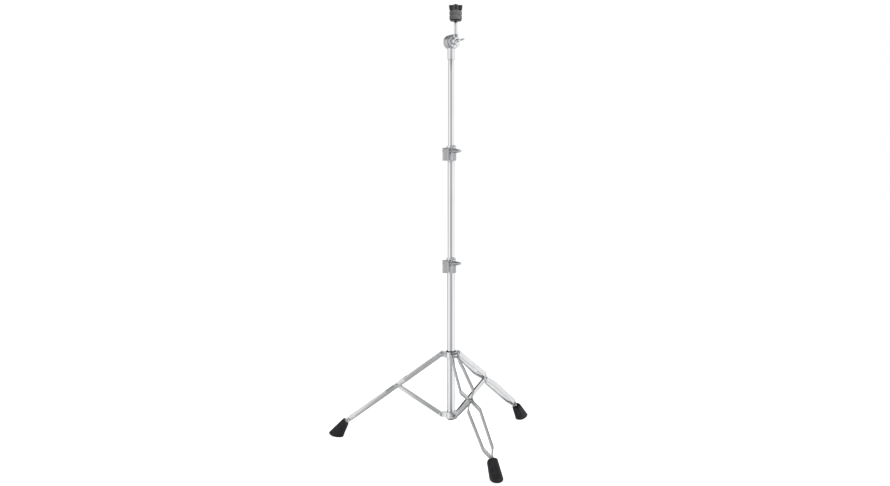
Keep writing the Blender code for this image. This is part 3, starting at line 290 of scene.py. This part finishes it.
def dull_nylon(name, colour):
    """Black nylon with a slight sheen."""
    material, tree, shader = new_material(name)
    shader.inputs["Specular IOR Level"].default_value = 0.3
    tinted(tree, shader, colour, noise_between(tree, 90, 0.85, 1.15))
    tree.links.new(noise_between(tree, 500, 0.32, 0.45, 4), shader.inputs["Roughness"])
    bumped(tree, shader, noise_between(tree, 1800, 0, 1, 3), 0.03 * MM, 0.5)
    return material


def pressed_felt(name, colour):
    """Wool felt: matted fibres that mottle the colour and roughen the surface."""
    material, tree, shader = new_material(name)
    shader.inputs["Roughness"].default_value = 1.0
    shader.inputs["Sheen Weight"].default_value = 0.35
    shader.inputs["Sheen Roughness"].default_value = 0.5
    shader.inputs["Specular IOR Level"].default_value = 0.1
    tinted(tree, shader, colour, noise_between(tree, 900, 0.55, 1.6, 8, (1, 1, 2.5)))
    bumped(tree, shader, noise_between(tree, 1500, 0, 1, 8, (1, 1, 3)), 0.5 * MM, 0.9)
    return material


def gloss_moulding(name, colour):
    """Glossy black moulding."""
    material, tree, shader = new_material(name)
    shader.inputs["Coat Weight"].default_value = 1.0
    shader.inputs["Coat Roughness"].default_value = 0.04
    tinted(tree, shader, colour, noise_between(tree, 40, 0.9, 1.1))
    tree.links.new(noise_between(tree, 260, 0.12, 0.20, 4), shader.inputs["Roughness"])
    bumped(tree, shader, noise_between(tree, 600, 0, 1, 2), 0.02 * MM, 0.4)
    return material


FINISHES = {
    "chrome": lambda: chrome_plate("chrome", colours().chrome, 0.05, 0.004 * MM),
    "cast_chrome": lambda: chrome_plate("cast_chrome", colours().chrome, 0.28, 0.03 * MM),
    "plated_steel": lambda: pressed_plate("plated_steel", colours().plated_steel),
    "rubber": lambda: moulded_rubber("rubber", colours().rubber),
    "nylon": lambda: dull_nylon("nylon", colours().nylon),
    "felt": lambda: pressed_felt("felt", colours().felt),
    "black_plastic": lambda: gloss_moulding("black_plastic", colours().black_plastic),
}
MADE = {}


def finish(slot):
    """Return the material of a slot, made once."""
    if slot not in MADE:
        MADE[slot] = FINISHES[slot]()
    return MADE[slot]


def middle_of(cad_node):
    """Return the middle of a CAD node's box."""
    low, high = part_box(cad_node)
    return (Vector(low) + Vector(high)) / 2


def tube_axis():
    """Return where the tubes' axis meets the floor."""
    middle = middle_of("base_tube")
    return Vector((middle.x, middle.y, 0))


def add_piece(name, mesh, slot, body):
    """Add a finished piece, which sits at the origin with its place in its mesh."""
    mesh.materials.clear()
    mesh.materials.append(finish(slot))
    piece = bpy.data.objects.new(name, mesh)
    bpy.context.scene.collection.objects.link(piece)
    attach(piece, body)
    return piece


def applied(piece):
    """Turn a piece and its modifiers into a plain mesh, and drop the piece."""
    bpy.context.view_layer.update()
    graph = bpy.context.evaluated_depsgraph_get()
    mesh = bpy.data.meshes.new_from_object(piece.evaluated_get(graph))
    bpy.data.objects.remove(piece)
    return mesh


def dressed(cad_node, edge=None, reshape=None):
    """Replace a CAD node by a merged, softly edged and smoothly shaded copy of it.

    Where reshape is given, it changes the points of the merged copy first.
    """
    source = frame["nodes"][cad_node]
    shape = bmesh.new()
    shape.from_mesh(source.data)
    bmesh.ops.remove_doubles(shape, verts=shape.verts, dist=MERGE)
    bmesh.ops.dissolve_limit(shape, angle_limit=FLAT_ANGLE, verts=shape.verts,
                             edges=shape.edges)
    if reshape:
        reshape(shape)
    mesh = bpy.data.meshes.new(cad_node)
    shape.to_mesh(mesh)
    shape.free()
    width = sizes().edge_break if edge is None else edge
    if width:
        draft = bpy.data.objects.new(cad_node + "_draft", mesh)
        bpy.context.scene.collection.objects.link(draft)
        bevel = draft.modifiers.new("Edges", "BEVEL")
        bevel.width = width
        bevel.segments = 2
        bevel.limit_method = "ANGLE"
        bevel.angle_limit = sizes().smooth_angle
        bevel.use_clamp_overlap = True
        mesh = applied(draft)
    mesh.shade_smooth()
    mesh.set_sharp_from_angle(angle=sizes().smooth_angle)
    piece = add_piece(cad_node + "_look", mesh, SLOT_OF[cad_node], BODY_OF[cad_node])
    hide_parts(cad_node)
    return piece


def thread_tree():
    """Return the node tree of a thread: a small diamond swept along a spiral round the rod."""
    tree = bpy.data.node_groups.new("thread", "GeometryNodeTree")
    for name in ("Radius", "Length", "Pitch", "Depth"):
        tree.interface.new_socket(name, in_out="INPUT", socket_type="NodeSocketFloat")
    tree.interface.new_socket("Finish", in_out="INPUT", socket_type="NodeSocketMaterial")
    tree.interface.new_socket("Thread", in_out="OUTPUT", socket_type="NodeSocketGeometry")
    wanted = tree.nodes.new("NodeGroupInput").outputs
    turns = maths(tree, "DIVIDE", wanted["Length"], wanted["Pitch"])
    spiral = node(tree, "GeometryNodeCurveSpiral", Resolution=SPIRAL_STEPS)
    diamond = node(tree, "GeometryNodeCurvePrimitiveCircle", Resolution=4)
    upright = tree.nodes.new("GeometryNodeSetCurveNormal")
    upright.mode = "Z_UP"
    swept = node(tree, "GeometryNodeCurveToMesh", Fill_Caps=True)
    real = tree.nodes.new("GeometryNodeRealizeInstances")
    finished = tree.nodes.new("GeometryNodeSetMaterial")
    result = tree.nodes.new("NodeGroupOutput")
    for source, target in (
            (turns, spiral.inputs["Rotations"]),
            (wanted["Radius"], spiral.inputs["Start Radius"]),
            (wanted["Radius"], spiral.inputs["End Radius"]),
            (wanted["Length"], spiral.inputs["Height"]),
            (wanted["Depth"], diamond.inputs["Radius"]),
            (spiral.outputs["Curve"], upright.inputs["Curve"]),
            (upright.outputs["Curve"], swept.inputs["Curve"]),
            (diamond.outputs["Curve"], swept.inputs["Profile Curve"]),
            (swept.outputs["Mesh"], real.inputs["Geometry"]),
            (real.outputs["Geometry"], finished.inputs["Geometry"]),
            (wanted["Finish"], finished.inputs["Material"]),
            (finished.outputs["Geometry"], result.inputs[0])):
        tree.links.new(source, target)
    return tree


def placed_along(node_name, origin, axis):
    """Return each point of a CAD node as its place along an axis and its distance from it."""
    points = (point.co - origin for point in frame["nodes"][node_name].data.vertices)
    return [(point.dot(axis), (point - axis * point.dot(axis)).length) for point in points]


def threaded_end(tree, rod, nut):
    """Wind a thread round the end of a rod that stands out of its nut."""
    joint = JOINT_OF[nut + "_turn"]
    origin, axis = Vector(joint["pos_m"]), Vector(joint["axis"]).normalized()
    rod_points = [point for point in placed_along(rod, origin, axis) if point[0] > 0]
    radius = max(away for _, away in rod_points)
    rod_end = max(along for along, away in rod_points if away > 0.95 * radius)
    nut_end = max(along for along, away in placed_along(nut, origin, axis)
                  if away < 1.5 * radius)
    depth = sizes().thread_depth
    values = {"Radius": radius, "Length": rod_end - nut_end - 2 * depth,
              "Pitch": sizes().thread_pitch, "Depth": depth, "Finish": finish(SLOT_OF[rod])}
    draft = bpy.data.objects.new(rod + "_thread_draft", bpy.data.meshes.new(rod + "_thread"))
    bpy.context.scene.collection.objects.link(draft)
    wind = draft.modifiers.new("Thread", "NODES")
    wind.node_group = tree
    for socket in tree.interface.items_tree:
        if socket.in_out == "INPUT":
            wind[socket.identifier] = values[socket.name]
    mesh = applied(draft)
    turn = axis.to_track_quat("Z", "Y").to_matrix().to_4x4()
    mesh.transform(Matrix.Translation(origin + axis * (nut_end + depth)) @ turn)
    mesh.shade_flat()
    add_piece(rod + "_thread", mesh, SLOT_OF[rod], BODY_OF[rod])


class STAND_OT_tubes(bpy.types.Operator):
    """Make the three chrome tubes and the plug"""

    bl_idname = "stand.tubes"
    bl_label = "Tubes"

    def execute(self, context):
        for name in ("base_tube", "middle_tube", "top_tube", "base_tube_plug"):
            dressed(name)
        return {"FINISHED"}


class STAND_OT_hubs(bpy.types.Operator):
    """Make the leg hub, the brace hub, their pins and the wing bolt"""

    bl_idname = "stand.hubs"
    bl_label = "Hubs"

    def execute(self, context):
        for name in ("brace_hub", "leg_hub", "leg_hub_bushing", "leg_hub_wing_bolt"):
            dressed(name)
        for leg in LEGS:
            dressed(f"{leg}_brace_hinge_pin")
            dressed(f"{leg}_leg_hinge_pin")
        return {"FINISHED"}


class STAND_OT_legs(bpy.types.Operator):
    """Make the leg strips, the braces, their rivets and the feet"""

    bl_idname = "stand.legs"
    bl_label = "Legs and braces"

    def execute(self, context):
        for leg in LEGS:
            for part in ("leg_strip_a", "leg_strip_b", "leg_brace_rivet_a", "leg_brace_rivet_b",
                         "leg_end_rivet", "brace"):
                dressed(f"{leg}_{part}")
            dressed(f"{leg}_foot", sizes().foot_edge, lambda shape: self.slim(shape, leg))
        return {"FINISHED"}

    def slim(self, shape, leg):
        """Narrow a foot's sole and widen its neck, across the upright plane of its leg."""
        neck = middle_of(f"{leg}_leg_end_rivet")
        outward = (neck - tube_axis()).to_2d().normalized()
        side = Vector((-outward.y, outward.x, 0))
        sole, top = sizes().sole_width, sizes().neck_width
        for vertex in shape.verts:
            width = sole + (top - sole) * min(vertex.co.z / neck.z, 1)
            vertex.co += side * (vertex.co - neck).dot(side) * (width - 1)


class STAND_OT_clamps(bpy.types.Operator):
    """Make both clamps with their bushings, bolts, wing nuts and memory rings"""

    bl_idname = "stand.clamps"
    bl_label = "Clamps"

    def execute(self, context):
        for side in ("lower", "upper"):
            for part in ("clamp", "clamp_bushing", "clamp_bolt", "clamp_wing_nut", "memory_ring",
                         "ring_key_screw"):
                dressed(f"{side}_{part}")
        return {"FINISHED"}


class STAND_OT_tilter(bpy.types.Operator):
    """Make the toothed tilter with its bolt and wing nut"""

    bl_idname = "stand.tilter"
    bl_label = "Tilter"

    def execute(self, context):
        for name in ("tilter_housing", "tilter_disc", "tilter_bolt", "tilter_wing_nut"):
            dressed(name)
        return {"FINISHED"}


class STAND_OT_seat(bpy.types.Operator):
    """Make the stem, the sleeve, the felts and the black wing nut"""

    bl_idname = "stand.seat"
    bl_label = "Cymbal seat"

    def execute(self, context):
        for name in ("stem", "cymbal_sleeve", "lower_felt", "upper_felt", "top_wing_nut"):
            dressed(name)
        return {"FINISHED"}


def stage_plane(name, size, height, material):
    """Add a level square of the studio, which isn't part of the object."""
    half = size / 2
    mesh = bpy.data.meshes.new(name)
    corners = [(-half, -half, height), (half, -half, height), (half, half, height),
               (-half, half, height)]
    mesh.from_pydata(corners, [], [(0, 1, 2, 3)])
    mesh.materials.append(material)
    plane = bpy.data.objects.new(name, mesh)
    bpy.context.scene.collection.objects.link(plane)
    return plane


def white_to_camera(tree, lit, bright, target):
    """Mix a lit shader with a white glow that the camera, mirrors and glass see."""
    path = tree.nodes.new("ShaderNodeLightPath").outputs
    mirrored = maths(tree, "MAXIMUM", path["Is Camera Ray"], path["Is Glossy Ray"])
    seen = maths(tree, "MAXIMUM", mirrored, path["Is Transmission Ray"])
    mix = tree.nodes.new("ShaderNodeMixShader")
    tree.links.new(seen, mix.inputs[0])
    tree.links.new(lit, mix.inputs[1])
    tree.links.new(bright, mix.inputs[2])
    tree.links.new(mix.outputs[0], target)


def floor_material():
    """Return a pale floor that reads white and keeps a soft shadow under the stand."""
    material = bpy.data.materials.new("studio_floor")
    material.use_nodes = True
    tree = material.node_tree
    shader = tree.nodes["Principled BSDF"]
    shader.inputs["Base Color"].default_value = (0.8, 0.8, 0.8, 1)
    shader.inputs["Roughness"].default_value = 0.9
    shader.inputs["Specular IOR Level"].default_value = 0.0
    glow = node(tree, "ShaderNodeEmission", Strength=0.87)
    faint = node(tree, "ShaderNodeBsdfDiffuse", Color=(0.5, 0.5, 0.5, 1))
    total = tree.nodes.new("ShaderNodeAddShader")
    tree.links.new(glow.outputs[0], total.inputs[0])
    tree.links.new(faint.outputs[0], total.inputs[1])
    output = tree.nodes["Material Output"]
    white_to_camera(tree, shader.outputs[0], total.outputs[0], output.inputs["Surface"])
    return material


def studio_walls(tree, azimuth):
    """Return the grey that the stand mirrors: white walls with a grey one behind the camera, and
    a dark ceiling."""
    coords = tree.nodes.new("ShaderNodeTexCoord")
    facing = tree.nodes.new("ShaderNodeMapping")
    facing.inputs["Rotation"].default_value = (0, 0, -azimuth)
    split = tree.nodes.new("ShaderNodeSeparateXYZ")
    tree.links.new(coords.outputs["Generated"], facing.inputs["Vector"])
    tree.links.new(facing.outputs["Vector"], split.inputs["Vector"])
    behind = maths(tree, "MULTIPLY", split.outputs["Y"], -1.0)
    angle = maths(tree, "ARCTAN2", split.outputs["X"], behind)
    turn = maths(tree, "MULTIPLY_ADD", angle, 0.5 / pi, 0.5)
    rise = maths(tree, "MULTIPLY_ADD", split.outputs["Z"], 0.5, 0.5)
    around = ramp(tree, turn, [(0.5 + degree / 360, grey) for degree, grey in WALL_GREYS])
    upward = ramp(tree, rise, [(0.5 + sin(radians(degree)) / 2, grey)
                               for degree, grey in HEIGHT_GREYS])
    mix = tree.nodes.new("ShaderNodeMix")
    mix.data_type = "RGBA"
    mix.blend_type = "MULTIPLY"
    mix.inputs["Factor"].default_value = 1.0
    tree.links.new(around, mix.inputs["A"])
    tree.links.new(upward, mix.inputs["B"])
    return mix.outputs["Result"]


class STAND_OT_threads(bpy.types.Operator):
    """Wind the threads on the ends of the bolts and the stud"""

    bl_idname = "stand.threads"
    bl_label = "Threads"

    def execute(self, context):
        tree = thread_tree()
        for rod, nut in THREADED:
            threaded_end(tree, rod, nut)
        return {"FINISHED"}


class STAND_OT_stage(bpy.types.Operator):
    """Make the floor, the light and the camera"""

    bl_idname = "stand.stage"
    bl_label = "Studio"

    def execute(self, context):
        settings = context.scene.stand_stage
        middle = tube_axis()
        floor = stage_plane("studio_floor", FLOOR_SIZE, -FLOOR_DROP, floor_material())
        floor.visible_glossy = False
        self.make_world(context, settings)
        self.make_lights(middle, settings)
        self.make_camera(context, middle, settings)
        context.scene.view_settings.view_transform = "Standard"
        return {"FINISHED"}

    def make_world(self, context, settings):
        world = bpy.data.worlds.new("studio")
        world.use_nodes = True
        tree = world.node_tree
        soft = tree.nodes["Background"]
        soft.inputs["Color"].default_value = (1, 1, 1, 1)
        soft.inputs["Strength"].default_value = settings.world_light
        white = tree.nodes.new("ShaderNodeBackground")
        white.inputs["Color"].default_value = (1, 1, 1, 1)
        walls = tree.nodes.new("ShaderNodeBackground")
        tree.links.new(studio_walls(tree, settings.camera_azimuth), walls.inputs["Color"])
        path = tree.nodes.new("ShaderNodeLightPath")
        mirrored = tree.nodes.new("ShaderNodeMixShader")
        tree.links.new(path.outputs["Is Glossy Ray"], mirrored.inputs[0])
        tree.links.new(white.outputs[0], mirrored.inputs[1])
        tree.links.new(walls.outputs[0], mirrored.inputs[2])
        white_to_camera(tree, soft.outputs[0], mirrored.outputs[0],
                        tree.nodes["World Output"].inputs["Surface"])
        context.scene.world = world

    def make_lights(self, middle, settings):
        """Hang a large soft light on the right, one on the left and one behind the stand.

        Polished metal mirrors the studio's walls and not these lights.
        """
        aim = middle + Vector((0, 0, LIGHT_AIM_HEIGHT))
        for name, angle, height, width, share in LIGHTS:
            lamp = bpy.data.lights.new(name, "AREA")
            lamp.size = width
            lamp.energy = settings.key_power * share
            light = bpy.data.objects.new(name, lamp)
            turn = Matrix.Rotation(settings.camera_azimuth + radians(angle), 4, "Z")
            spot = middle + turn.to_3x3() @ Vector((0, -LIGHT_DISTANCE, height))
            facing = (aim - spot).to_track_quat("-Z", "Y").to_matrix().to_4x4()
            light.matrix_world = Matrix.Translation(spot) @ facing
            light.visible_glossy = False
            bpy.context.scene.collection.objects.link(light)

    def make_camera(self, context, middle, settings):
        lens = bpy.data.cameras.new("photo_view")
        lens.lens = settings.lens
        lens.sensor_width = 36
        camera = bpy.data.objects.new("photo_view", lens)
        turn = Matrix.Rotation(settings.camera_azimuth, 4, "Z")
        spot = turn @ Vector((settings.camera_side, -settings.camera_distance,
                              settings.camera_height))
        tilt = Matrix.Rotation(radians(90) - settings.camera_pitch, 4, "X")
        camera.matrix_world = Matrix.Translation(middle + spot) @ turn @ tilt
        context.scene.collection.objects.link(camera)
        context.scene.camera = camera


class STAND_PT_panel(bpy.types.Panel):
    """Lists the steps that build the stand"""

    bl_label = "Cymbal stand"
    bl_idname = "STAND_PT_panel"
    bl_space_type = "VIEW_3D"
    bl_region_type = "UI"
    bl_category = "Stand"

    def draw(self, context):
        for operator in OPERATORS:
            self.layout.operator(operator.bl_idname)
        for group in ("stand_sizes", "stand_colours", "stand_stage"):
            settings = getattr(context.scene, group)
            box = self.layout.box()
            for name in settings.__annotations__:
                box.prop(settings, name)


GROUPS = {"stand_sizes": StandSizes, "stand_colours": StandColours, "stand_stage": StandStage}
OPERATORS = (STAND_OT_tubes, STAND_OT_hubs, STAND_OT_legs, STAND_OT_clamps, STAND_OT_tilter,
             STAND_OT_seat, STAND_OT_threads, STAND_OT_stage)


def register():
    for group in GROUPS.values():
        bpy.utils.register_class(group)
    for operator in (*OPERATORS, STAND_PT_panel):
        bpy.utils.register_class(operator)
    for name, group in GROUPS.items():
        setattr(bpy.types.Scene, name, PointerProperty(type=group))


def unregister():
    for name in GROUPS:
        delattr(bpy.types.Scene, name)
    for item in (STAND_PT_panel, *reversed(OPERATORS), *GROUPS.values()):
        bpy.utils.unregister_class(item)


def main():
    register()
    bpy.ops.stand.tubes()
    bpy.ops.stand.hubs()
    bpy.ops.stand.legs()
    bpy.ops.stand.clamps()
    bpy.ops.stand.tilter()
    bpy.ops.stand.seat()
    bpy.ops.stand.threads()
    bpy.ops.stand.stage()


if __name__ == "__main__":
    main()
